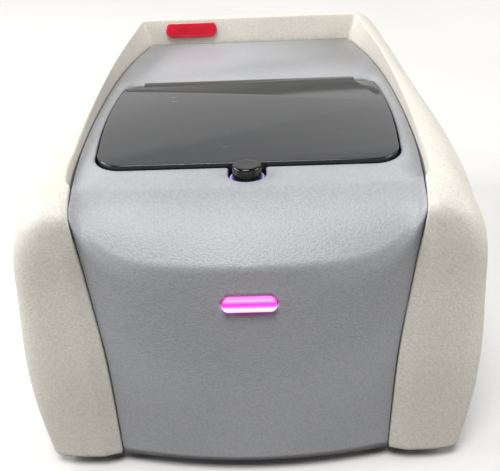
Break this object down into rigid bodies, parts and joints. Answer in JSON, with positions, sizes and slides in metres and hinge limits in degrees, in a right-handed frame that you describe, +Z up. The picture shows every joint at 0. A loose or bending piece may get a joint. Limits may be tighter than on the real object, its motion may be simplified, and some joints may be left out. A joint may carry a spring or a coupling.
{
  "type": "thermal cycler",
  "caption": "Bench-top thermal cycler with an ivory casing, a grey sloping front panel, a smoked hinged lid over a cartridge bay, a round button and a lit status bar.",
  "frame": {"origin": "middle of the bounding box's bottom face, on the surface that the feet stand on", "axes": "+Z up, +Y from the front towards the rear, +X to the right seen from the front"},
  "size_m": [0.254, 0.393, 0.165],
  "materials": {
    "ivory_moulding": "moulded, fine leather grain",
    "grey_moulding": "moulded, fine leather grain",
    "smoked_window": "polished, smoked",
    "black_plastic": "moulded",
    "red_badge": "domed, glossy",
    "foot_rubber": "matt",
    "status_lamp": "lit, translucent",
    "light_guide": "frosted, lit violet",
    "plated_steel": "zinc plated",
    "spring_steel": "drawn wire",
    "aluminium": "milled",
    "ceramic": "sintered plate",
    "circuit_board": "solder mask",
    "lens_glass": "coated",
    "seal_rubber": "moulded",
    "magnet": "nickel plated"
  },
  "bodies": {
    "base": {"air_compressor": "black_plastic", "air_hose": "light_guide", "air_manifold": "aluminium", "badge": "red_badge", "base_screw_1": "plated_steel", "base_screw_2": "plated_steel", "base_screw_3": "plated_steel", "base_screw_4": "plated_steel", "base_tray": "plated_steel", "bay_liner": "black_plastic", "beater_motor": "plated_steel", "button_light_ring": "light_guide", "button_seat": "black_plastic", "button_spring": "spring_steel", "button_switch": "black_plastic", "camera_lens": "lens_glass", "camera_module": "black_plastic", "chassis_left": "aluminium", "chassis_right": "aluminium", "data_port": "black_plastic", "fan_frame": "black_plastic", "foot_front_left": "foot_rubber", "foot_front_right": "foot_rubber", "foot_rear_left": "foot_rubber", "foot_rear_right": "foot_rubber", "heat_sink": "aluminium", "heater_block": "aluminium", "hinge_bracket_left": "plated_steel", "hinge_bracket_right": "plated_steel", "lid_catch_magnet": "magnet", "lid_hinge_pin": "plated_steel", "lid_spring_left": "spring_steel", "lid_spring_right": "spring_steel", "magnet_rail": "aluminium", "main_board": "circuit_board", "network_port": "black_plastic", "outer_shell": "ivory_moulding", "peltier_module": "ceramic", "power_inlet": "black_plastic", "power_supply": "plated_steel", "rear_panel": "plated_steel", "status_board": "circuit_board", "status_lens": "status_lamp", "switch_frame": "black_plastic", "top_panel": "grey_moulding"},
    "lid": {"lid_window": "smoked_window", "lid_hinge_strip": "black_plastic", "lid_frame": "black_plastic", "lid_seal": "seal_rubber", "lid_catch_plate": "plated_steel"},
    "button": {"button_cap": "black_plastic"},
    "rocker": {"power_rocker": "black_plastic"},
    "fan": {"fan_rotor": "black_plastic"},
    "plungers": {"plunger_bar": "aluminium"},
    "magnet": {"magnet_slide": "magnet"},
    "paddle": {"beater_paddle": "plated_steel"}
  },
  "joints": [
    {"name": "lid_hinge", "type": "hinge", "parent": "base", "child": "lid", "pos_m": [0, 0.0405, 0.1405], "axis": [-1, 0, 0], "range_deg": [0, 95]},
    {"name": "button_press", "type": "slide", "parent": "base", "child": "button", "axis": [0, 0, -1], "range_m": [0, 0.002], "stiffness_N_per_m": 400, "deforming": ["button_spring"]},
    {"name": "power_rocker_tilt", "type": "hinge", "parent": "base", "child": "rocker", "pos_m": [0.022, 0.185, 0.04], "axis": [1, 0, 0], "range_deg": [0, 12]},
    {"name": "fan_spin", "type": "hinge", "parent": "base", "child": "fan", "pos_m": [-0.042, 0.1764, 0.056], "axis": [0, 1, 0], "continuous": true},
    {"name": "plunger_lift", "type": "slide", "parent": "base", "child": "plungers", "axis": [0, 0, 1], "range_m": [0, 0.005]},
    {"name": "magnet_travel", "type": "slide", "parent": "base", "child": "magnet", "axis": [0, 1, 0], "range_m": [0, 0.014]},
    {"name": "paddle_spin", "type": "hinge", "parent": "base", "child": "paddle", "pos_m": [-0.062, 0.012, 0.094], "axis": [0, 0, 1], "continuous": true}
  ]
}
